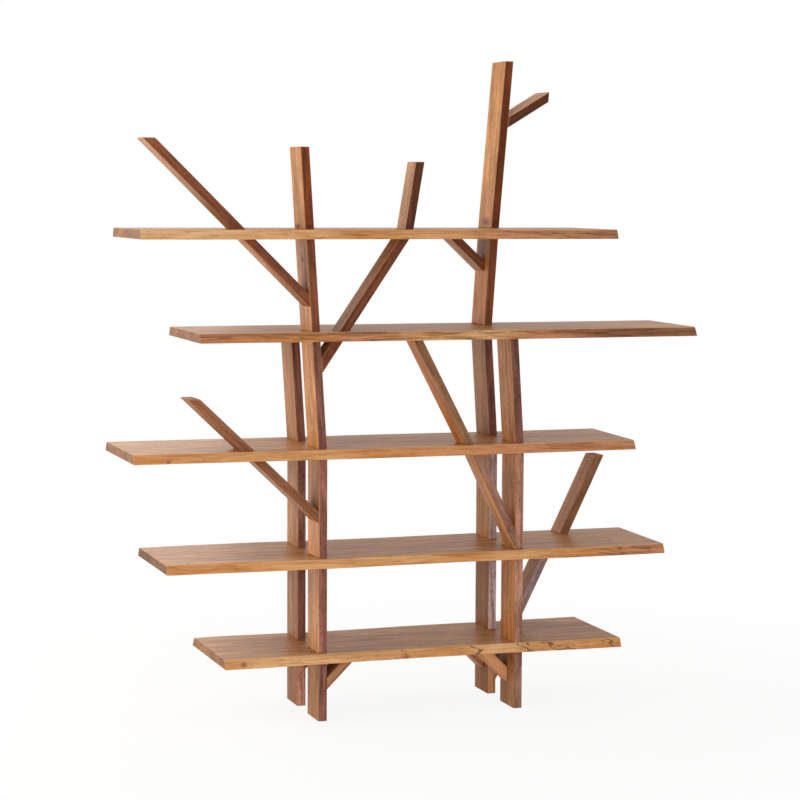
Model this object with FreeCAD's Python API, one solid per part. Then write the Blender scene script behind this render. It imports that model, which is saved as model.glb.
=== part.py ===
import FreeCAD, Part
import math
import os

# A tree-shaped bookshelf, in millimetres: X runs along the boards, the front faces -Y, Z is up.
# Five live-edge boards are carried by four trunks, and branches and braces spring from the trunks.
# X is first measured from midway between the trunks and Y from midway between front and rear trunks.

# Sawn stock
boardThickness = 28.7
stockThickness = 26.5
trunkDepth = 121.5
branchDepth = 83.0
deepBranchDepth = 103.0
shortBraceDepth = 64.0
thickBraceThickness = 33.0

# Spacing of the trunks, and the clear heights from the floor up to their free ends
trunkSpan = 639.6
trunkGap = 112.0
footHeight = 181.5
bottomBay = 265.3
lowerBay = 305.3
middleBay = 327.3
upperBay = 279.3
frontLeftCrown = 248.0
rearRightCrown = 528.8

# Angles from the upright in degrees, positive towards the right going up
trunkLeanAngle = -3.65
rearRightUpperAngle = 3.9
rearRightCrownAngle = 4.85
leftHighAngle = -45.5
leftLowAngle = -46.5
innerHighAngle = 34.2
stubAngle = 9.5
innerLowUpperAngle = -27.5
innerLowLowerAngle = -25.8
rightBranchAngle = 26.5
rightBranchTopAngle = 25.7
topBraceAngle = -47.0
twigAngle = 58.9
braceAngle = 45.0

# Lowest corner of each root on its trunk: how far under the board above, or clear of what is below
leftHighDrop = 205.0
leftLowDrop = 198.6
innerHighDrop = 96.2
topBraceDrop = 110.3
leftBraceDrop = 84.5
rightBraceDrop = 107.5
innerLowClear = 2.3
rightBranchClear = 7.9
twigRise = 318.7

# Sideways steps where a branch goes on beyond a board, and free ends above the board below them
stubStep = 3.3
innerLowStep = -7.4
rightBottomStep = -13.2
rightLowerStep = 30.3
leftHighTip = 269.8
leftLowTip = 159.8
stubTip = 205.8
rightBranchTip = 256.3
twigReach = 131.7

# Boards: overhang past the trunks, angle that each sawn end is off square, how far each natural edge
# swells in and out, in how many waves and from which phase, and how far it slopes in at either end
boards = {
    "bottom": dict(leftOverhang=313.7, rightOverhang=343.4, leftAngle=0.0, rightAngle=0.8,
                   frontOverhang=21.5, frontSwell=7.5, frontWaves=1.0, frontPhase=0.50,
                   frontLeftBevel=13.0, frontRightBevel=17.0,
                   rearOverhang=36.5, rearSwell=4.5, rearWaves=1.4, rearPhase=0.50,
                   rearLeftBevel=24.0, rearRightBevel=16.0),
    "lower": dict(leftOverhang=489.3, rightOverhang=495.4, leftAngle=0.3, rightAngle=2.2,
                  frontOverhang=25.5, frontSwell=5.0, frontWaves=1.7, frontPhase=0.00,
                  frontLeftBevel=10.0, frontRightBevel=13.0,
                  rearOverhang=38.5, rearSwell=5.0, rearWaves=1.6, rearPhase=0.25,
                  rearLeftBevel=15.0, rearRightBevel=16.0),
    "middle": dict(leftOverhang=588.6, rightOverhang=396.0, leftAngle=0.375, rightAngle=3.2,
                   frontOverhang=31.5, frontSwell=8.0, frontWaves=1.0, frontPhase=0.00,
                   frontLeftBevel=11.0, frontRightBevel=17.0,
                   rearOverhang=42.5, rearSwell=8.0, rearWaves=0.5, rearPhase=0.50,
                   rearLeftBevel=18.0, rearRightBevel=16.0),
    "upper": dict(leftOverhang=387.0, rightOverhang=599.7, leftAngle=0.64, rightAngle=2.6,
                  frontOverhang=32.5, frontSwell=7.0, frontWaves=1.0, frontPhase=0.00,
                  frontLeftBevel=10.0, frontRightBevel=17.0,
                  rearOverhang=45.5, rearSwell=5.0, rearWaves=0.9, rearPhase=0.35,
                  rearLeftBevel=15.0, rearRightBevel=14.0),
    "top": dict(leftOverhang=563.3, rightOverhang=317.7, leftAngle=0.7, rightAngle=2.0,
                frontOverhang=32.5, frontSwell=5.0, frontWaves=1.3, frontPhase=0.20,
                frontLeftBevel=10.0, frontRightBevel=14.0,
                rearOverhang=46.5, rearSwell=5.0, rearWaves=1.1, rearPhase=0.55,
                rearLeftBevel=12.5, rearRightBevel=14.0),
}
bevelWanderRatio = 0.15
bevelWaves = 2.3
edgeRipple = 0.9
rippleWaves = 6.6
edgePoints = 29

# Loose tenons and the room left round them
trunkTenonThickness = 10.0
trunkTenonWidth = 70.0
trunkTenonEntry = 25.0
branchTenonThickness = 8.0
branchTenonWidth = 45.0
tenonSideClearance = 0.15
tenonEndClearance = 0.5
endTenonCover = 8.0
branchTenonCover = 15.0

endTenonEntry = boardThickness - endTenonCover - tenonEndClearance
branchTenonEntry = stockThickness - branchTenonCover - tenonEndClearance

levels = ["bottom", "lower", "middle", "upper", "top"]
clearHeights = [footHeight, bottomBay, lowerBay, middleBay, upperBay]
bayNames = ["foot", "trunk_1", "trunk_2", "trunk_3", "trunk_4", "crown"]

trunkX = trunkSpan / 2
outerY = trunkGap / 2 + trunkDepth
frontY = -outerY
rearY = trunkGap / 2
rearBranchY = outerY - branchDepth

boardTops = {}
reached = 0.0
for level, clear in zip(levels, clearHeights):
    reached += clear + boardThickness
    boardTops[level] = reached

pieces = {}
tenonGroups = {"trunk_tenons": [], "trunk_end_tenons": [], "branch_tenons": []}


def boardTop(level):
    return boardTops[level]


def boardBase(level):
    return boardTops[level] - boardThickness


def boardMiddle(level):
    return boardTops[level] - boardThickness / 2


def slope(degrees):
    return math.tan(math.radians(degrees))


# A slanting line in the XZ plane is kept as its X at floor level and its X gained per unit of height.

def slantLine(x, z, degrees):
    return (x - z * slope(degrees), slope(degrees))


def lineX(line, z):
    return line[0] + line[1] * z


def shiftLine(line, dx):
    return (line[0] + dx, line[1])


def bendLine(line, z, step, degrees):
    return slantLine(lineX(line, z) + step, z, degrees)


# An end is either a level or another slanting line.

def pointAt(line, end):
    z = end
    if isinstance(end, tuple):
        z = (end[0] - line[0]) / (line[1] - end[1])
    return (lineX(line, z), z)


def sawnPiece(line, halfWidth, low, high, front, depth):
    left = shiftLine(line, -halfWidth)
    right = shiftLine(line, halfWidth)
    outline = [pointAt(left, low), pointAt(right, low), pointAt(right, high), pointAt(left, high)]
    corners = [FreeCAD.Vector(x, front, z) for x, z in outline]
    face = Part.Face(Part.makePolygon(corners + corners[:1]))
    return face.extrude(FreeCAD.Vector(0, depth, 0))


# Live-edge boards: each natural edge is a spline, and it slopes outwards towards the underside

def liveEdge(board, side, sign, z, rise):
    swell = board[side + "Swell"]
    waves = board[side + "Waves"]
    phase = board[side + "Phase"]
    leftBevel = board[side + "LeftBevel"]
    rightBevel = board[side + "RightBevel"]
    points = []
    for i in range(edgePoints):
        s = i / (edgePoints - 1)
        bevel = rise * (leftBevel + s * (rightBevel - leftBevel))
        out = outerY + board[side + "Overhang"] - swell * math.cos(2 * math.pi * (waves * s + phase))
        out += edgeRipple * math.sin(2 * math.pi * (rippleWaves * s + phase + rise / 4))
        out -= bevel * (1 + bevelWanderRatio * math.sin(2 * math.pi * (bevelWaves * s + phase)))
        y = sign * out
        left = -trunkX - board["leftOverhang"] + y * slope(board["leftAngle"])
        right = trunkX + board["rightOverhang"] + y * slope(board["rightAngle"])
        points.append(FreeCAD.Vector(left + s * (right - left), y, z))
    return points


def boardOutline(board, z, rise):
    front = liveEdge(board, "front", -1, z, rise)
    rear = liveEdge(board, "rear", 1, z, rise)
    rear.reverse()
    edges = []
    for start, end in ((front, rear), (rear, front)):
        curve = Part.BSplineCurve()
        curve.interpolate(start)
        edges.append(curve.toShape())
        edges.append(Part.makeLine(start[-1], end[0]))
    return Part.Wire(edges)


for level, board in boards.items():
    under = boardOutline(board, boardBase(level), 0.0)
    over = boardOutline(board, boardTop(level), 1.0)
    pieces["shelf_" + level] = Part.makeLoft([under, over], True, True)


# Trunks: a chain of middle lines, one for every bay, upright up to the middle board and leaning above it

def trunkLines(x, upperAngles):
    upright = (x, 0.0)
    lines = [upright, upright, upright, bendLine(upright, boardMiddle("middle"), 0.0, trunkLeanAngle)]
    for level, degrees in upperAngles:
        lines.append(bendLine(lines[-1], boardMiddle(level), 0.0, degrees))
    return lines


frontLeftAngles = [("upper", trunkLeanAngle), ("top", trunkLeanAngle)]
rearRightAngles = [("upper", rearRightUpperAngle), ("top", rearRightCrownAngle)]
trunks = {
    "front_left": dict(y=frontY, lines=trunkLines(-trunkX, frontLeftAngles), crown=frontLeftCrown),
    "rear_left": dict(y=rearY, lines=trunkLines(-trunkX, [])),
    "front_right": dict(y=frontY, lines=trunkLines(trunkX, [])),
    "rear_right": dict(y=rearY, lines=trunkLines(trunkX, rearRightAngles), crown=rearRightCrown),
}

for name, trunk in trunks.items():
    for bay, line in enumerate(trunk["lines"]):
        low = boardTop(levels[bay - 1]) if bay else 0.0
        high = boardBase(levels[bay]) if bay < len(levels) else low + trunk["crown"]
        length = sawnPiece(line, stockThickness / 2, low, high, trunk["y"], trunkDepth)
        pieces[name + "_" + bayNames[bay]] = length


# Tenons

def tenonBox(centre, size, room):
    grown = [size[i] + 2 * room[i] for i in range(3)]
    corner = FreeCAD.Vector(*[centre[i] - grown[i] / 2 for i in range(3)])
    return Part.makeBox(*grown, corner)


def addTenon(group, centre, size, lengthwise, joined):
    room = [tenonSideClearance] * 3
    room[lengthwise] = tenonEndClearance
    mortise = tenonBox(centre, size, room)
    for name in joined:
        pieces[name] = pieces[name].cut(mortise)
    tenonGroups[group].append(tenonBox(centre, size, [0.0, 0.0, 0.0]))


for name, trunk in trunks.items():
    middleY = trunk["y"] + trunkDepth / 2
    lines = trunk["lines"]
    for bay, level in enumerate(levels[:len(lines)]):
        below = name + "_" + bayNames[bay]
        board = "shelf_" + level
        section = [trunkTenonThickness, trunkTenonWidth]
        if bay + 1 < len(lines):
            above = name + "_" + bayNames[bay + 1]
            z = boardMiddle(level)
            size = section + [boardThickness + 2 * trunkTenonEntry]
            addTenon("trunk_tenons", [lineX(lines[bay], z), middleY, z], size, 2, [below, board, above])
        else:
            z = boardBase(level) + (endTenonEntry - trunkTenonEntry) / 2
            size = section + [trunkTenonEntry + endTenonEntry]
            addTenon("trunk_end_tenons", [lineX(lines[bay], z), middleY, z], size, 2, [below, board])


# Branches and braces: the lower end is cut to the side of a trunk or to a board, and the upper end to a
# board or level at its free tip. Every cut end but a tip is keyed by a tenon.

def trunkFace(trunk, bay, side):
    return shiftLine(trunks[trunk]["lines"][bay], side * stockThickness / 2)


def slantHalf(line, thickness):
    return thickness / 2 * math.hypot(1.0, line[1])


def rootLine(face, lowest, degrees, thickness=stockThickness):
    lowerEdge = slantLine(lineX(face, lowest), lowest, degrees)
    return shiftLine(lowerEdge, -math.copysign(slantHalf(lowerEdge, thickness), degrees))


def branch(name, line, low, high, front, depth, thickness=stockThickness):
    pieces[name] = sawnPiece(line, slantHalf(line, thickness), low, high, front, depth)


def rootTenon(name, line, trunk, bay, side, middleY):
    face = trunkFace(trunk, bay, side)
    z = pointAt(line, shiftLine(face, side * branchTenonEntry / 2))[1]
    size = [2 * branchTenonEntry, branchTenonWidth, branchTenonThickness]
    joined = [name, trunk + "_" + bayNames[bay]]
    addTenon("branch_tenons", [lineX(face, z), middleY, z], size, 0, joined)


def boardTenon(name, line, level, above, middleY):
    z = boardTop(level) if above else boardBase(level)
    towards = branchTenonEntry / 2 if above else -branchTenonEntry / 2
    size = [branchTenonThickness, branchTenonWidth, 2 * branchTenonEntry]
    addTenon("branch_tenons", [lineX(line, z + towards), middleY, z], size, 2, [name, "shelf_" + level])


def rootedBranch(name, line, trunk, bay, side, level, front, depth, thickness=stockThickness):
    branch(name, line, trunkFace(trunk, bay, side), boardBase(level), front, depth, thickness)
    rootTenon(name, line, trunk, bay, side, front + depth / 2)
    boardTenon(name, line, level, False, front + depth / 2)


def bayBranch(name, line, levelBelow, levelAbove, front, depth):
    branch(name, line, boardTop(levelBelow), boardBase(levelAbove), front, depth)
    boardTenon(name, line, levelBelow, True, front + depth / 2)
    boardTenon(name, line, levelAbove, False, front + depth / 2)


def freeBranch(name, line, levelBelow, tip, front, depth):
    branch(name, line, boardTop(levelBelow), boardTop(levelBelow) + tip, front, depth)
    boardTenon(name, line, levelBelow, True, front + depth / 2)


leftHigh = rootLine(trunkFace("front_left", 4, -1), boardBase("top") - leftHighDrop, leftHighAngle)
rootedBranch("left_high_branch_lower", leftHigh, "front_left", 4, -1, "top", frontY, branchDepth)
freeBranch("left_high_branch_upper", leftHigh, "top", leftHighTip, frontY, branchDepth)

leftLow = rootLine(trunkFace("front_left", 2, -1), boardBase("middle") - leftLowDrop, leftLowAngle)
rootedBranch("left_low_branch_lower", leftLow, "front_left", 2, -1, "middle", frontY, deepBranchDepth)
freeBranch("left_low_branch_upper", leftLow, "middle", leftLowTip, frontY, deepBranchDepth)

innerHigh = rootLine(trunkFace("front_left", 3, 1), boardBase("upper") - innerHighDrop, innerHighAngle)
stub = bendLine(innerHigh, boardMiddle("top"), stubStep, stubAngle)
rootedBranch("inner_high_branch_lower", innerHigh, "front_left", 3, 1, "upper", frontY, branchDepth)
bayBranch("inner_high_branch_middle", innerHigh, "upper", "top", frontY, branchDepth)
freeBranch("inner_high_branch_stub", stub, "top", stubTip, frontY, branchDepth)

innerLow = rootLine(trunkFace("front_right", 2, -1), boardTop("lower") + innerLowClear, innerLowLowerAngle)
innerLowUpper = bendLine(innerLow, boardMiddle("middle"), innerLowStep, innerLowUpperAngle)
rootedBranch("inner_low_branch_lower", innerLow, "front_right", 2, -1, "middle", frontY, branchDepth)
bayBranch("inner_low_branch_upper", innerLowUpper, "middle", "upper", frontY, branchDepth)

rightFoot = rootLine(trunkFace("rear_right", 0, 1), rightBranchClear, rightBranchAngle)
rightMiddle = bendLine(rightFoot, boardMiddle("bottom"), rightBottomStep, rightBranchAngle)
rightUpper = bendLine(rightMiddle, boardMiddle("lower"), rightLowerStep, rightBranchTopAngle)
rootedBranch("right_branch_foot", rightFoot, "rear_right", 0, 1, "bottom", rearBranchY, branchDepth)
bayBranch("right_branch_middle", rightMiddle, "bottom", "lower", rearBranchY, branchDepth)
freeBranch("right_branch_upper", rightUpper, "lower", rightBranchTip, rearBranchY, branchDepth)

topBrace = rootLine(trunkFace("rear_right", 4, -1), boardBase("top") - topBraceDrop, topBraceAngle)
rootedBranch("top_brace", topBrace, "rear_right", 4, -1, "top", rearBranchY, branchDepth)

crownFace = trunkFace("rear_right", 5, 1)
twig = rootLine(crownFace, boardTop("top") + twigRise, twigAngle)
branch("crown_twig", twig, crownFace, shiftLine(crownFace, twigReach), rearY, trunkDepth)
rootTenon("crown_twig", twig, "rear_right", 5, 1, rearY + trunkDepth / 2)

footBraces = [
    ("front_left", 1, leftBraceDrop, frontY, branchDepth, stockThickness),
    ("rear_left", 1, leftBraceDrop, rearBranchY, branchDepth, stockThickness),
    ("front_right", -1, rightBraceDrop, frontY + trunkDepth - shortBraceDepth, shortBraceDepth,
     thickBraceThickness),
    ("rear_right", -1, rightBraceDrop, rearBranchY, branchDepth, stockThickness),
]
for trunk, side, drop, front, depth, thickness in footBraces:
    face = trunkFace(trunk, 0, side)
    line = rootLine(face, boardBase("bottom") - drop, side * braceAngle, thickness)
    rootedBranch(trunk + "_brace", line, trunk, 0, side, "bottom", front, depth, thickness)

for group, solids in tenonGroups.items():
    pieces[group] = Part.makeCompound(solids)

# The origin goes to the middle of the whole outline, on the floor
box = Part.makeCompound(list(pieces.values())).optimalBoundingBox()
centring = FreeCAD.Vector(-box.Center.x, -box.Center.y, 0.0)

os.makedirs("parts", exist_ok=True)
for name, shape in pieces.items():
    shape.translate(centring)
    shape.exportStep("parts/" + name + ".step")
print("moved by", centring, "box", box)
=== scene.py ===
import bpy
import math
from mathutils import Matrix, Vector


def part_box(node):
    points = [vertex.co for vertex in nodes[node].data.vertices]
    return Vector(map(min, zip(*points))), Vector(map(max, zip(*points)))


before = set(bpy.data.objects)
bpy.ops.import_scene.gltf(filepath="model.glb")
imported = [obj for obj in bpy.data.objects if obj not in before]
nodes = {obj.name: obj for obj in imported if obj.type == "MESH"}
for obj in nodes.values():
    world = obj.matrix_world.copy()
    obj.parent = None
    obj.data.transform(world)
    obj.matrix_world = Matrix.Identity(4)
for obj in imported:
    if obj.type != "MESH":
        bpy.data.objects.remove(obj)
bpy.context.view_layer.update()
print("frame loaded,", len(nodes), "nodes")

scene = bpy.context.scene
scene.view_settings.view_transform = "Standard"

# camera at the photograph's angle
cameraSet = {
    "place": (-2.411, -7.138, 1.616),
    "yaw": 18.49,       # degrees to the right of straight ahead
    "pitch": 4.94,      # degrees below level
    "roll": 0.28,       # degrees
    "lens": 108.3,      # mm
    "sensor": 36.0,     # mm
    "farthest": 200.0,  # metres
}
bpy.ops.object.select_all(action="DESELECT")
bpy.ops.object.camera_add()
camera = bpy.context.object
camera.name = "photoCamera"
camera.data.sensor_width = cameraSet["sensor"]
camera.data.lens = cameraSet["lens"]
camera.data.clip_end = cameraSet["farthest"]
turn = Matrix.Rotation(math.radians(-cameraSet["yaw"]), 4, "Z")
turn = turn @ Matrix.Rotation(math.radians(90 - cameraSet["pitch"]), 4, "X")
turn = turn @ Matrix.Rotation(math.radians(cameraSet["roll"]), 4, "Z")
camera.matrix_world = Matrix.Translation(cameraSet["place"]) @ turn
scene.camera = camera
print("camera set")


def linearColour(hexText):
    # sRGB hex to linear
    values = []
    for i in (1, 3, 5):
        share = int(hexText[i:i + 2], 16) / 255
        values.append(share / 12.92 if share <= 0.04045 else ((share + 0.055) / 1.055) ** 2.4)
    return (*values, 1.0)


def addNode(tree, kind, inputs=None, **settings):
    node = tree.nodes.new(kind)
    for key, value in settings.items():
        setattr(node, key, value)
    for key, value in (inputs or {}).items():
        if isinstance(value, bpy.types.NodeSocket):
            tree.links.new(value, node.inputs[key])
        else:
            node.inputs[key].default_value = value
    return node


def emptyMaterial(name):
    material = bpy.data.materials.new(name)
    material.use_nodes = True
    material.node_tree.nodes.clear()
    return material, material.node_tree


def viewRays(tree):
    # 1 for rays that see the surroundings, straight or in gloss or glass, 0 for those that light the object
    ray = addNode(tree, "ShaderNodeLightPath").outputs
    seen = addNode(tree, "ShaderNodeMath", {0: ray["Is Camera Ray"], 1: ray["Is Glossy Ray"]},
                   operation="MAXIMUM")
    seen = addNode(tree, "ShaderNodeMath", {0: seen.outputs[0], 1: ray["Is Transmission Ray"]},
                   operation="MAXIMUM")
    return seen.outputs[0]


# floor and white surroundings
floorSet = {
    "size": 60.0,
    "drop": 0.0005,       # metres below the feet, so that the two faces don't flicker
    "colour": "#f6f3f0",
    "ownWhite": 0.9,      # share of plain white near the middle, where the rest shows light and shadow
    "shadowFrom": 1.0,    # metres from the middle where the lit floor starts to turn plain white
    "shadowTo": 2.6,
}
bpy.ops.object.select_all(action="DESELECT")
bpy.ops.mesh.primitive_plane_add(size=floorSet["size"], location=(0, 0, -floorSet["drop"]))
floor = bpy.context.object
floor.name = "studioFloor"
# matt painted floor: no gloss, white with a faint soft shadow
floorPaint, tree = emptyMaterial("mattFloorPaint")
where = addNode(tree, "ShaderNodeTexCoord")
away = addNode(tree, "ShaderNodeVectorMath", {0: where.outputs["Object"]}, operation="LENGTH")
plain = addNode(tree, "ShaderNodeMapRange", {"Value": away.outputs["Value"],
                                             "From Min": floorSet["shadowFrom"],
                                             "From Max": floorSet["shadowTo"],
                                             "To Min": floorSet["ownWhite"],
                                             "To Max": 1.0}, interpolation_type="SMOOTHSTEP")
share = addNode(tree, "ShaderNodeMath", {0: plain.outputs["Result"], 1: viewRays(tree)}, operation="MULTIPLY")
lit = addNode(tree, "ShaderNodeBsdfDiffuse", {"Color": linearColour(floorSet["colour"])})
white = addNode(tree, "ShaderNodeEmission", {"Color": (1, 1, 1, 1), "Strength": 1.0})
mixed = addNode(tree, "ShaderNodeMixShader", {0: share.outputs[0], 1: lit.outputs[0], 2: white.outputs[0]})
addNode(tree, "ShaderNodeOutputMaterial", {"Surface": mixed.outputs[0]})
floor.data.materials.append(floorPaint)

worldSet = {"fill": 0.72, "fillColour": "#fffdfa"}
world = bpy.data.worlds.new("whiteStudio")
scene.world = world
world.use_nodes = True
tree = world.node_tree
tree.nodes.clear()
fill = addNode(tree, "ShaderNodeBackground", {"Color": linearColour(worldSet["fillColour"]),
                                              "Strength": worldSet["fill"]})
back = addNode(tree, "ShaderNodeBackground", {"Color": (1, 1, 1, 1), "Strength": 1.0})
mixed = addNode(tree, "ShaderNodeMixShader", {0: viewRays(tree), 1: fill.outputs[0], 2: back.outputs[0]})
addNode(tree, "ShaderNodeOutputWorld", {"Surface": mixed.outputs[0]})

# soft boxes: a large near one on the left, a low one behind that draws a sheen on the boards and a weak one
# in front
lampColour = "#fffbf6"
lampSet = {
    "leftBox": {"place": (-2.6, 0.7, 1.5), "aim": (0, 0, 1.0), "size": 2.6, "watts": 58},
    "sheenBox": {"place": (-0.35, 4.0, 1.35), "aim": (-0.5, 0, 0.9), "size": 1.6, "watts": 12},
    "frontBox": {"place": (-3.2, -5.2, 1.5), "aim": (0, 0, 0.9), "size": 3.0, "watts": 30},
}
for name, lamp in lampSet.items():
    bpy.ops.object.select_all(action="DESELECT")
    bpy.ops.object.light_add(type="AREA", location=lamp["place"])
    light = bpy.context.object
    light.name = name
    light.data.size = lamp["size"]
    light.data.energy = lamp["watts"]
    light.data.color = linearColour(lampColour)[:3]
    light.visible_camera = False
    aim = Vector(lamp["aim"]) - Vector(lamp["place"])
    light.rotation_euler = aim.to_track_quat("-Z", "Y").to_euler()
print("floor, surroundings and soft boxes set")


def toned(hexText, strength):
    return (*[min(1.0, value * strength) for value in linearColour(hexText)[:3]], 1.0)


logStep = (0.37, 0.53, 0.731)    # metres in the log from one plank's stretch to the next


def grainPlace(tree, name, degrees, seed):
    # grain coordinates: X through the thickness, Y across the width, Z along the grain; every plank reads
    # its own stretch of the log
    low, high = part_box(name)
    spin = Matrix.Rotation(math.radians(-degrees), 3, "Y")
    shift = Vector([seed * step for step in logStep]) - spin @ ((low + high) / 2)
    where = addNode(tree, "ShaderNodeTexCoord")
    place = addNode(tree, "ShaderNodeMapping", {"Vector": where.outputs["Object"], "Location": shift,
                                                "Rotation": (0, math.radians(-degrees), 0)})
    return place.outputs[0]


def grainFacing(tree, degrees):
    # the way a face looks in grain coordinates, all positive: Y on narrow sides and board edges, Z on
    # sawn ends
    shape = addNode(tree, "ShaderNodeNewGeometry")
    turned = addNode(tree, "ShaderNodeVectorRotate", {"Vector": shape.outputs["Normal"],
                                                      "Angle": math.radians(-degrees)},
                     rotation_type="Y_AXIS")
    plain = addNode(tree, "ShaderNodeVectorMath", {0: turned.outputs[0]}, operation="ABSOLUTE")
    return addNode(tree, "ShaderNodeSeparateXYZ", {0: plain.outputs[0]}).outputs


noiseSet = {"Detail": 3.0, "Roughness": 0.6}


def grainFigure(tree, place, patterns, ringLines):
    # every pattern is a noise of a size in millimetres across the grain, drawn out along it by a ratio and
    # slanting to it by some degrees; the rings are level lines of the slow swirl
    figure = {}
    for name, (millimetres, ratio, slant) in patterns.items():
        long = addNode(tree, "ShaderNodeMapping", {"Vector": place, "Rotation": (0, math.radians(slant), 0),
                                                   "Scale": (1, 1, 1 / ratio)}, vector_type="TEXTURE")
        noise = addNode(tree, "ShaderNodeTexNoise", {"Vector": long.outputs[0], "Scale": 1000 / millimetres,
                                                     **noiseSet})
        figure[name] = noise.outputs["Fac"]
    level = addNode(tree, "ShaderNodeMath", {0: figure["swirl"], 1: ringLines}, operation="MULTIPLY")
    rings = addNode(tree, "ShaderNodeMath", {0: level.outputs[0], 1: 1.0}, operation="PINGPONG")
    figure["rings"] = rings.outputs[0]
    return figure


def weighFigure(tree, figure, weights):
    # several patterns of one piece of wood, each with its weight, read as one height or shade
    total = 0.0
    for name, weight in weights.items():
        total = addNode(tree, "ShaderNodeMath", {0: figure[name], 1: weight, 2: total},
                        operation="MULTIPLY_ADD").outputs[0]
    return total


def layTone(tree, under, over, pattern, span, most=1.0):
    # one tone of wood over another: none where the pattern is at the span's first value, most at its second
    low, high = span
    share = addNode(tree, "ShaderNodeMapRange", {"Value": pattern, "From Min": low, "From Max": high,
                                                 "To Max": most}, interpolation_type="SMOOTHSTEP")
    laid = addNode(tree, "ShaderNodeMix", {"Factor": share.outputs[0], 6: under, 7: over}, data_type="RGBA")
    return laid.outputs[2]


# distance from a knot's centre, as a share of its reach, where each ring starts and where it is full
knotSpans = {"halo": (2.1, 1.3), "core": (1.15, 0.9)}


def layKnots(tree, colour, knots, figure, knotSet):
    # small knots, (centre, reach) in metres: a reddish halo round a dark core, with a ragged outline
    where = addNode(tree, "ShaderNodeTexCoord")
    for centre, reach in knots:
        near = addNode(tree, "ShaderNodeMapping", {"Vector": where.outputs["Object"],
                                                   "Location": [-c / r for c, r in zip(centre, reach)],
                                                   "Scale": [1 / r for r in reach]})
        far = addNode(tree, "ShaderNodeVectorMath", {0: near.outputs[0]}, operation="LENGTH")
        ragged = addNode(tree, "ShaderNodeMath", {0: figure["mottle"], 1: knotSet["ragged"],
                                                  2: far.outputs["Value"]}, operation="MULTIPLY_ADD")
        for ring, span in knotSpans.items():
            colour = layTone(tree, colour, linearColour(knotSet[ring]), ragged.outputs[0], span,
                             knotSet[ring + "Depth"])
    return colour


oilSet = {
    "openGrain": {"fibre": 0.6, "mottle": 0.4},
    "openSpan": (0.3, 0.7),    # of the open grain, from sleek to dull
    "relief": {"fibre": 0.7, "pore": -0.5},
    "reliefDepth": 0.0006,    # metres
    "ior": 1.47,
}


def oilFinish(tree, colour, figure, facing, finish):
    # rubbed satin, duller where the grain is open and on the sawn ends, with the fibres just felt
    grain = weighFigure(tree, figure, oilSet["openGrain"])
    low, high = oilSet["openSpan"]
    rough = addNode(tree, "ShaderNodeMapRange", {"Value": grain, "From Min": low, "From Max": high,
                                                 "To Min": finish["sleek"], "To Max": finish["open"]})
    rough = addNode(tree, "ShaderNodeMath", {0: facing["Z"], 1: finish["ends"], 2: rough.outputs[0]},
                    operation="MULTIPLY_ADD")
    height = weighFigure(tree, figure, oilSet["relief"])
    felt = addNode(tree, "ShaderNodeBump", {"Height": height, "Strength": finish["felt"],
                                            "Distance": oilSet["reliefDepth"]})
    wood = addNode(tree, "ShaderNodeBsdfPrincipled", {"Base Color": colour, "Roughness": rough.outputs[0],
                                                      "Specular IOR Level": finish["gloss"],
                                                      "IOR": oilSet["ior"], "Normal": felt.outputs[0]})
    addNode(tree, "ShaderNodeOutputMaterial", {"Surface": wood.outputs[0]})


# Sawn stock, oiled acacia: sawn planks, sanded and rubbed with oil. The eye sees golden wide faces with
# fine broken streaks, darker narrow sides of redder heartwood, and a thin satin sheen.
wideTones = {    # light and dark streaks
    "honey": ("#cd9158", "#8c5d33"),
    "straw": ("#cd986c", "#906444"),
    "copper": ("#cf884a", "#8d5629"),
    "hazel": ("#b07a4c", "#784f2d"),
    "umber": ("#ad7343", "#764a27"),
}
narrowTones = {
    "russet": ("#98512f", "#5d2f19"),
    "chestnut": ("#95583d", "#603826"),
    "cedar": ("#a96f50", "#7a4c35"),
    "plum": ("#ae7566", "#70473c"),
    "clay": ("#d9a38d", "#8a5c4d"),
    # painted sheen: a pale lilac-grey that stands for a whitish reflection over the brown wood of some narrow
    # sides
    "ashPaintedSheen": ("#efd8da", "#957d7e"),
    "amber": ("#cf9870", "#94694a"),
}
woodShades = {    # strength of a tone, 1 as it is written
    "palest": 1.65,
    "pale": 1.4,
    "light": 1.2,
    "even": 1.0,
    "deep": 0.85,
    "dark": 0.7,
    "darkest": 0.5,
}
stockSet = {
    "pore": "#43230f",
    "poreDepth": 0.55,
    # painted highlight: the paler tone laid on the arrises, where rounded edges would catch the light
    "paintedHighlight": ("honey", "light"),
    "paintedHighlightDepth": 0.5,
    "ringLines": 16.0,
    "patterns": {                      # millimetres across the grain, ratio along it, slant in degrees
        "swirl": (95.0, 0.10, 0.0),
        "fibre": (3.0, 0.035, 0.0),    # drawn coarser than the real 0.3 mm pores so that it shows
        "pore": (3.0, 0.08, 0.0),      # coarser too
        "mottle": (8.0, 0.55, 0.0),
        "patch": (80.0, 0.25, 0.0),
    },
    "shade": {"rings": 0.16, "fibre": 0.75, "mottle": 0.35, "patch": 0.55},
    "spans": {                         # of a pattern, or of the facing across the grain
        "shade": (0.68, 1.13),
        "pore": (0.60, 0.72),
        "narrow": (0.55, 0.9),
        "paintedHighlight": (0.12, 0.35),
        "pastPaintedHighlight": (0.88, 0.99),
    },
    "finish": {"sleek": 0.36, "open": 0.54, "ends": 0.1, "felt": 0.15, "gloss": 0.10},
    "knot": {"halo": "#7a4125", "core": "#3d1f10", "haloDepth": 0.65, "coreDepth": 0.75, "ragged": 1.4},
    "arris": {"width": 0.0024, "segments": 2},
}
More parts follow.
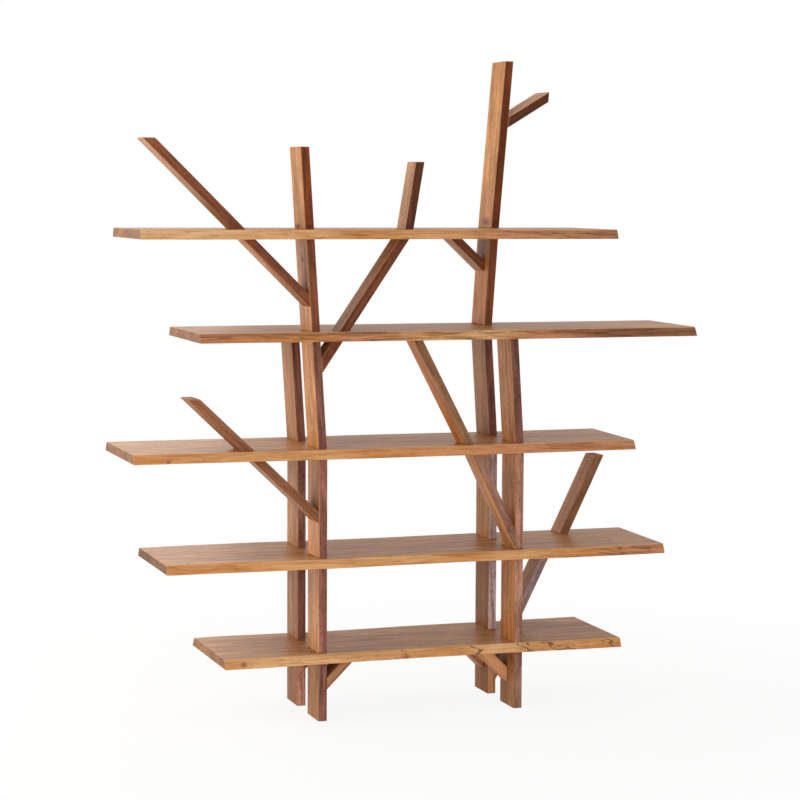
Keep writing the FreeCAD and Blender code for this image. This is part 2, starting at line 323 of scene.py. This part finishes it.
# angle from the upright in degrees, place in the log, tone and shade of the wide faces, tone and shade of
# the narrow sides
# Some shades also paint light into shade: front_left_trunk_2's wide faces are set partly lighter to lift the
# shaded pocket above the low branch, and the narrow sides of both rear feet and of front_right_brace are set
# lighter to lift the shade they stand in.
planks = {
    "front_left_foot": (0, 1, "honey", "deep", "plum", "even"),
    "front_left_trunk_1": (0, 2, "straw", "light", "plum", "light"),
    "front_left_trunk_2": (0, 3, "straw", "pale", "plum", "light"),
    "front_left_trunk_3": (-3.65, 4, "honey", "light", "plum", "deep"),
    "front_left_trunk_4": (-3.65, 5, "straw", "light", "chestnut", "even"),
    "front_left_crown": (-3.65, 6, "honey", "light", "russet", "even"),
    "rear_left_foot": (0, 7, "hazel", "even", "clay", "pale"),
    "rear_left_trunk_1": (0, 8, "straw", "dark", "plum", "deep"),
    "rear_left_trunk_2": (0, 9, "straw", "deep", "clay", "deep"),
    "rear_left_trunk_3": (-3.65, 10, "hazel", "even", "plum", "deep"),
    "front_right_foot": (0, 11, "honey", "even", "clay", "dark"),
    "front_right_trunk_1": (0, 12, "copper", "light", "clay", "even"),
    "front_right_trunk_2": (0, 13, "honey", "light", "clay", "even"),
    "front_right_trunk_3": (-3.65, 14, "honey", "light", "plum", "dark"),
    "rear_right_foot": (0, 15, "umber", "even", "amber", "palest"),
    "rear_right_trunk_1": (0, 16, "umber", "dark", "ashPaintedSheen", "light"),
    "rear_right_trunk_2": (0, 17, "hazel", "light", "ashPaintedSheen", "even"),
    "rear_right_trunk_3": (-3.65, 18, "hazel", "deep", "plum", "deep"),
    "rear_right_trunk_4": (3.9, 19, "copper", "deep", "chestnut", "light"),
    "rear_right_crown": (4.85, 20, "honey", "even", "russet", "deep"),
    "left_high_branch_lower": (-45.5, 21, "hazel", "light", "chestnut", "light"),
    "left_high_branch_upper": (-45.5, 21, "hazel", "even", "chestnut", "light"),
    "left_low_branch_lower": (-46.5, 22, "hazel", "light", "cedar", "deep"),
    "left_low_branch_upper": (-46.5, 22, "hazel", "even", "cedar", "even"),
    "inner_high_branch_lower": (34.2, 23, "hazel", "pale", "chestnut", "even"),
    "inner_high_branch_middle": (34.2, 23, "hazel", "pale", "chestnut", "deep"),
    "inner_high_branch_stub": (9.5, 24, "straw", "even", "chestnut", "dark"),
    "inner_low_branch_upper": (-27.5, 25, "copper", "pale", "amber", "dark"),
    "inner_low_branch_lower": (-25.8, 26, "straw", "pale", "clay", "dark"),
    "right_branch_foot": (26.5, 27, "umber", "even", "plum", "even"),
    "right_branch_middle": (26.5, 28, "umber", "even", "ashPaintedSheen", "deep"),
    "right_branch_upper": (25.7, 29, "umber", "even", "amber", "dark"),
    "top_brace": (-47.0, 30, "umber", "light", "cedar", "deep"),
    "crown_twig": (58.9, 31, "straw", "pale", "chestnut", "darkest"),
    "front_left_brace": (45.0, 32, "hazel", "light", "amber", "deep"),
    "rear_left_brace": (45.0, 33, "hazel", "even", "amber", "deep"),
    "front_right_brace": (-45.0, 34, "copper", "pale", "amber", "palest"),
    "rear_right_brace": (-45.0, 35, "hazel", "light", "amber", "palest"),
}
plankKnots = {    # centre and reach in metres
    "rear_right_crown": [((0.298, 0.105, 1.522), (0.02, 0.040, 0.014))],
    "front_left_crown": [((-0.373, -0.1835, 1.512), (0.010, 0.02, 0.010)),
                         ((-0.387, -0.1005, 1.511), (0.02, 0.030, 0.009))],
    "front_left_trunk_4": [((-0.380, -0.127, 1.410), (0.01, 0.014, 0.009))],
}


def stockWood(name, degrees, seed, wide, wideShade, narrow, narrowShade):
    material, tree = emptyMaterial("oiledAcacia_" + name)
    place = grainPlace(tree, name, degrees, seed)
    figure = grainFigure(tree, place, stockSet["patterns"], stockSet["ringLines"])
    facing = grainFacing(tree, degrees)
    spans = stockSet["spans"]
    # narrow sides have a tone of their own, and every side goes from its light to its dark tone in streaks
    tones = []
    for i in (0, 1):
        tones.append(layTone(tree, toned(wideTones[wide][i], woodShades[wideShade]),
                             toned(narrowTones[narrow][i], woodShades[narrowShade]),
                             facing["Y"], spans["narrow"]))
    colour = layTone(tree, *tones, weighFigure(tree, figure, stockSet["shade"]), spans["shade"])
    colour = layTone(tree, colour, linearColour(stockSet["pore"]), figure["pore"], spans["pore"],
                     stockSet["poreDepth"])
    colour = layKnots(tree, colour, plankKnots.get(name, []), figure, stockSet["knot"])
    # painted highlight: the arrises are laid paler, standing for the light that rounded edges catch
    paintedHighlightTone, paintedHighlightShade = stockSet["paintedHighlight"]
    pale = toned(wideTones[paintedHighlightTone][0], woodShades[paintedHighlightShade])
    paintedHighlight = layTone(tree, colour, pale, facing["Y"], spans["paintedHighlight"], stockSet["paintedHighlightDepth"])
    colour = layTone(tree, paintedHighlight, colour, facing["Y"], spans["pastPaintedHighlight"])
    oilFinish(tree, colour, figure, facing, stockSet["finish"])
    return material


for name, plank in planks.items():
    nodes[name].material_slots[0].material = stockWood(name, *plank)
print("planks finished:", len(planks))


# Boards, oiled acacia slabs: planed top, natural edges sanded clean of bark, so golden sapwood shows along
# them. The eye sees a smooth satin top with soft streaks, edges with flecks and drying cracks, brown ends.
edgeTones = {    # light and dark streaks
    "cream": ("#f4c38e", "#dca470"),
    "golden": ("#ecb37a", "#d2965e"),
    "orange": ("#e09f63", "#c6824a"),
    "ginger": ("#d4946a", "#b2724a"),
    "bronze": ("#c0875c", "#9a623c"),
    "walnut": ("#a9744f", "#805034"),
}
boardSet = {
    "grain": 90,                       # degrees from the upright
    "heartLight": "#cb945a",
    "heartDark": "#916038",
    "endLight": "#89603e",
    "endDark": "#674328",
    "crack": "#4b2a18",
    # painted highlight: the pale tone laid on the board arrises
    "paintedHighlight": "#f0cda4",
    "ringLines": 12.0,
    "patterns": {                      # millimetres across the grain, ratio along it, slant in degrees
        "swirl": (60.0, 0.09, 0.0),
        "fibre": (3.6, 0.03, 0.0),     # drawn coarser than the real pores so that it shows
        "pore": (3.6, 0.11, 0.0),      # coarser too
        "mottle": (9.0, 0.4, 0.0),
        "streak": (14.0, 0.035, 0.0),
        "ripple": (45.0, 2.5, 0.0),    # short waves across the grain, as in curly wood
        "patch": (75.0, 0.22, 0.0),
    },
    "topShade": {"rings": 0.2, "fibre": 0.4, "streak": 0.2, "mottle": 0.15, "ripple": 0.15, "patch": 0.35},
    "edgeShade": {"rings": 0.25, "fibre": 0.7, "mottle": 0.3, "patch": 0.5},
    "streakShade": {"streak": 0.35, "fibre": 0.65},
    "endShade": {"rings": 0.12, "mottle": 0.35, "patch": 0.65},
    "crackLevel": 0.5,                 # cracks run where their noise has this value
    "spans": {                         # of a pattern, or of the facing across or along the grain
        "top": (0.5, 0.95),
        "topPore": (0.60, 0.74),
        "edge": (0.67, 1.12),
        "heartLine": (0.3, 0.65),
        "streak": (0.51, 0.61),
        "crack": (0.026, 0.004),
        "edgePore": (0.60, 0.72),
        "end": (0.42, 0.72),
        "edgeFacing": (0.5, 0.85),
        "paintedHighlight": (0.1, 0.4),
        "pastPaintedHighlight": (0.55, 0.85),
        "endFacing": (0.6, 0.9),
    },
    "depths": {"topPore": 0.3, "heartLine": 0.5, "edgePore": 0.45, "paintedHighlight": 0.6},
    "finish": {"sleek": 0.36, "open": 0.50, "ends": 0.1, "felt": 0.12, "gloss": 0.15},
    "knot": {"halo": "#94562f", "core": "#5b341d", "haloDepth": 0.6, "coreDepth": 0.75, "ragged": 1.5},
    "arris": {"width": 0.0030, "segments": 3},
}
# Edge tones by their place along the board, from 0 to 1; depth of the dark streaks; shade of the ends; where
# along X, in metres, the cracks start and are at their full depth; knots. Heartwood shows above the heart
# line, which climbs along the edge from one height to another, as shares of the thickness, and then drops.
slabs = {
    "shelf_bottom": {
        "seed": 41,
        "edge": {-0.15: "orange", 0.18: "cream", 0.45: "golden", 0.56: "orange", 0.69: "cream", 0.8: "golden",
                 0.97: "orange"},
        "streaks": 0.2,
        "ends": "light",
        "cracks": {"along": (-0.3, 0.1), "depth": 0.75, "pattern": (75.0, 0.3, 25)},
        "knots": [((-0.5847, -0.206, 0.1947), (0.011, 0.03, 0.009)),
                  ((0.4137, -0.191, 0.212), (0.018, 0.03, 0.007))],
    },
    "shelf_lower": {
        "seed": 42,
        "edge": {0.1: "orange", 0.3: "golden", 0.5: "golden", 0.57: "orange", 0.68: "golden", 0.8: "orange",
                 0.95: "ginger"},
        "streaks": 0.2,
        "ends": "dark",
        "cracks": {"along": (0.2, 0.7), "depth": 0.6, "pattern": (32.0, 0.08, 10)},
    },
    "shelf_middle": {
        "seed": 43,
        "edge": {0.05: "orange", 0.22: "golden", 0.35: "golden", 0.45: "orange", 0.85: "ginger"},
        "streaks": 0.2,
        "ends": "even",
        "cracks": {"along": (0.3, 0.7), "depth": 0.3, "pattern": (20.0, 0.05, 8)},
        "knots": [((-0.8143, -0.205, 0.815), (0.008, 0.02, 0.006))],
    },
    "shelf_upper": {
        "seed": 44,
        "edge": {0.0: "ginger", 0.2: "orange", 0.3: "ginger", 0.42: "golden", 0.55: "cream", 0.66: "ginger",
                 0.85: "walnut"},
        "streaks": 0.6,
        "ends": "even",
        "cracks": {"along": (-0.7, -0.5), "depth": 0.35, "pattern": (15.0, 0.03, 5)},
        "heartLine": {"climb": (0.2, 0.58), "heights": (0.45, 0.95), "drop": (0.62, 0.8), "ragged": 0.8,
                      "tone": "walnut"},
    },
    "shelf_top": {
        "seed": 45,
        "edge": {0.1: "cream", 0.34: "golden", 0.44: "orange", 0.57: "golden", 0.75: "ginger",
                 1.02: "bronze"},
        "streaks": 0.25,
        "ends": "even",
        "cracks": {"along": (0.1, 0.3), "depth": 0.4, "pattern": (20.0, 0.06, 8)},
    },
}


def aboveHeartLine(tree, line, along, rise, figure):
    # height over the heart line, as a share of the board's thickness, ragged along the fibres
    first, last = line["heights"]
    climb = addNode(tree, "ShaderNodeMapRange", {"Value": along, "From Min": line["climb"][0],
                                                 "From Max": line["climb"][1],
                                                 "To Min": first, "To Max": last})
    drop = addNode(tree, "ShaderNodeMapRange", {"Value": along, "From Min": line["drop"][0],
                                                "From Max": line["drop"][1],
                                                "To Min": last, "To Max": 0.0})
    level = addNode(tree, "ShaderNodeMath", {0: climb.outputs[0], 1: drop.outputs[0]}, operation="MINIMUM")
    over = addNode(tree, "ShaderNodeMath", {0: rise, 1: level.outputs[0]}, operation="SUBTRACT")
    over = addNode(tree, "ShaderNodeMath", {0: figure["fibre"], 1: line["ragged"], 2: over.outputs[0]},
                   operation="MULTIPLY_ADD")
    return over.outputs[0]


def boardWood(name, slab):
    material, tree = emptyMaterial("oiledAcaciaSlab_" + name)
    cracks = slab["cracks"]
    place = grainPlace(tree, name, boardSet["grain"], slab["seed"])
    patterns = {**boardSet["patterns"], "crack": cracks["pattern"]}
    figure = grainFigure(tree, place, patterns, boardSet["ringLines"])
    facing = grainFacing(tree, boardSet["grain"])
    spans = boardSet["spans"]
    depths = boardSet["depths"]
    low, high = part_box(name)
    where = addNode(tree, "ShaderNodeTexCoord")
    spot = addNode(tree, "ShaderNodeSeparateXYZ", {0: where.outputs["Object"]}).outputs
    along = addNode(tree, "ShaderNodeMapRange", {"Value": spot["X"], "From Min": low.x,
                                                 "From Max": high.x}).outputs[0]
    crack = linearColour(boardSet["crack"])

    # planed top and underside
    heart = layTone(tree, linearColour(boardSet["heartLight"]), linearColour(boardSet["heartDark"]),
                    weighFigure(tree, figure, boardSet["topShade"]), spans["top"])
    heart = layTone(tree, heart, crack, figure["pore"], spans["topPore"], depths["topPore"])

    # sapwood along the natural edges, drifting from one end of the board to the other
    edge = slab["edge"]
    places = list(edge)
    sapTones = []
    for i in (0, 1):
        drift = linearColour(edgeTones[edge[places[0]]][i])
        for start, stop in zip(places, places[1:]):
            drift = layTone(tree, drift, linearColour(edgeTones[edge[stop]][i]), along, (start, stop))
        sapTones.append(drift)
    sap = layTone(tree, *sapTones, weighFigure(tree, figure, boardSet["edgeShade"]), spans["edge"])
    if "heartLine" in slab:
        line = slab["heartLine"]
        rise = addNode(tree, "ShaderNodeMapRange", {"Value": spot["Z"], "From Min": low.z,
                                                    "From Max": high.z}).outputs[0]
        over = aboveHeartLine(tree, line, along, rise, figure)
        sap = layTone(tree, sap, linearColour(edgeTones[line["tone"]][1]), over, spans["heartLine"],
                      depths["heartLine"])
    sap = layTone(tree, sap, crack, weighFigure(tree, figure, boardSet["streakShade"]), spans["streak"],
                  slab["streaks"])
    # drying cracks and dark zone lines are level lines of a noise
    middle = addNode(tree, "ShaderNodeMath", {0: figure["crack"], 1: boardSet["crackLevel"]},
                     operation="SUBTRACT")
    split = addNode(tree, "ShaderNodeMath", {0: middle.outputs[0]}, operation="ABSOLUTE")
    cracked = layTone(tree, sap, crack, split.outputs[0], spans["crack"], cracks["depth"])
    sap = layTone(tree, sap, cracked, spot["X"], cracks["along"])
    sap = layTone(tree, sap, crack, figure["pore"], spans["edgePore"], depths["edgePore"])
    sap = layKnots(tree, sap, slab.get("knots", []), figure, boardSet["knot"])
    colour = layTone(tree, heart, sap, facing["Y"], spans["edgeFacing"])

    # painted highlight: the arris is laid paler, standing for the light a rounded edge catches
    paintedHighlight = layTone(tree, colour, linearColour(boardSet["paintedHighlight"]), facing["Y"], spans["paintedHighlight"],
                     depths["paintedHighlight"])
    colour = layTone(tree, paintedHighlight, colour, facing["Y"], spans["pastPaintedHighlight"])

    # sawn ends
    endShade = woodShades[slab["ends"]]
    ends = layTone(tree, toned(boardSet["endLight"], endShade), toned(boardSet["endDark"], endShade),
                   weighFigure(tree, figure, boardSet["endShade"]), spans["end"])
    colour = layTone(tree, colour, ends, facing["Z"], spans["endFacing"])
    oilFinish(tree, colour, figure, facing, boardSet["finish"])
    return material


for name, slab in slabs.items():
    nodes[name].material_slots[0].material = boardWood(name, slab)
print("boards finished:", len(slabs))


# Loose tenons, plain beech: planed and left bare under the glue, pale and dull with short dark flecks.
tenonSet = {
    "light": "#d9b48c",
    "dark": "#b98d63",
    "fleck": "#8f6742",
    "fleckDepth": 0.5,
    "ringLines": 10.0,
    "patterns": {                      # millimetres across the grain, ratio along it, slant in degrees
        "swirl": (40.0, 0.1, 0.0),
        "fibre": (2.0, 0.08, 0.0),
        "pore": (1.5, 0.3, 0.0),
        "mottle": (6.0, 0.4, 0.0),
    },
    "shade": {"fibre": 0.8, "rings": 0.2},
    "spans": {"shade": (0.35, 0.65), "fleck": (0.6, 0.75)},
    "finish": {"sleek": 0.56, "open": 0.68, "ends": 0.1, "felt": 0.2, "gloss": 0.3},
}
tenonNames = [name for name in nodes if name.endswith("tenons")]
beech, tree = emptyMaterial("planedBeech")
place = addNode(tree, "ShaderNodeTexCoord").outputs["Object"]
figure = grainFigure(tree, place, tenonSet["patterns"], tenonSet["ringLines"])
colour = layTone(tree, linearColour(tenonSet["light"]), linearColour(tenonSet["dark"]),
                 weighFigure(tree, figure, tenonSet["shade"]), tenonSet["spans"]["shade"])
colour = layTone(tree, colour, linearColour(tenonSet["fleck"]), figure["pore"], tenonSet["spans"]["fleck"],
                 tenonSet["fleckDepth"])
oilFinish(tree, colour, figure, grainFacing(tree, 0), tenonSet["finish"])
for name in tenonNames:
    nodes[name].material_slots[0].material = beech
print("tenons finished:", len(tenonNames))


# eased arrises: the loose triangles are joined, then every sharp edge is rounded a little
arrisSet = {
    "join": 0.00002,    # metres between corners that are one
    "sharp": 30,        # degrees
}
for name, node in nodes.items():
    if name in tenonNames:
        continue
    arris = (boardSet if name in slabs else stockSet)["arris"]
    weld = node.modifiers.new("joinTriangles", "WELD")
    weld.merge_threshold = arrisSet["join"]
    ease = node.modifiers.new("easedArris", "BEVEL")
    ease.width = arris["width"]
    ease.segments = arris["segments"]
    ease.limit_method = "ANGLE"
    ease.angle_limit = math.radians(arrisSet["sharp"])
print("arrises eased")
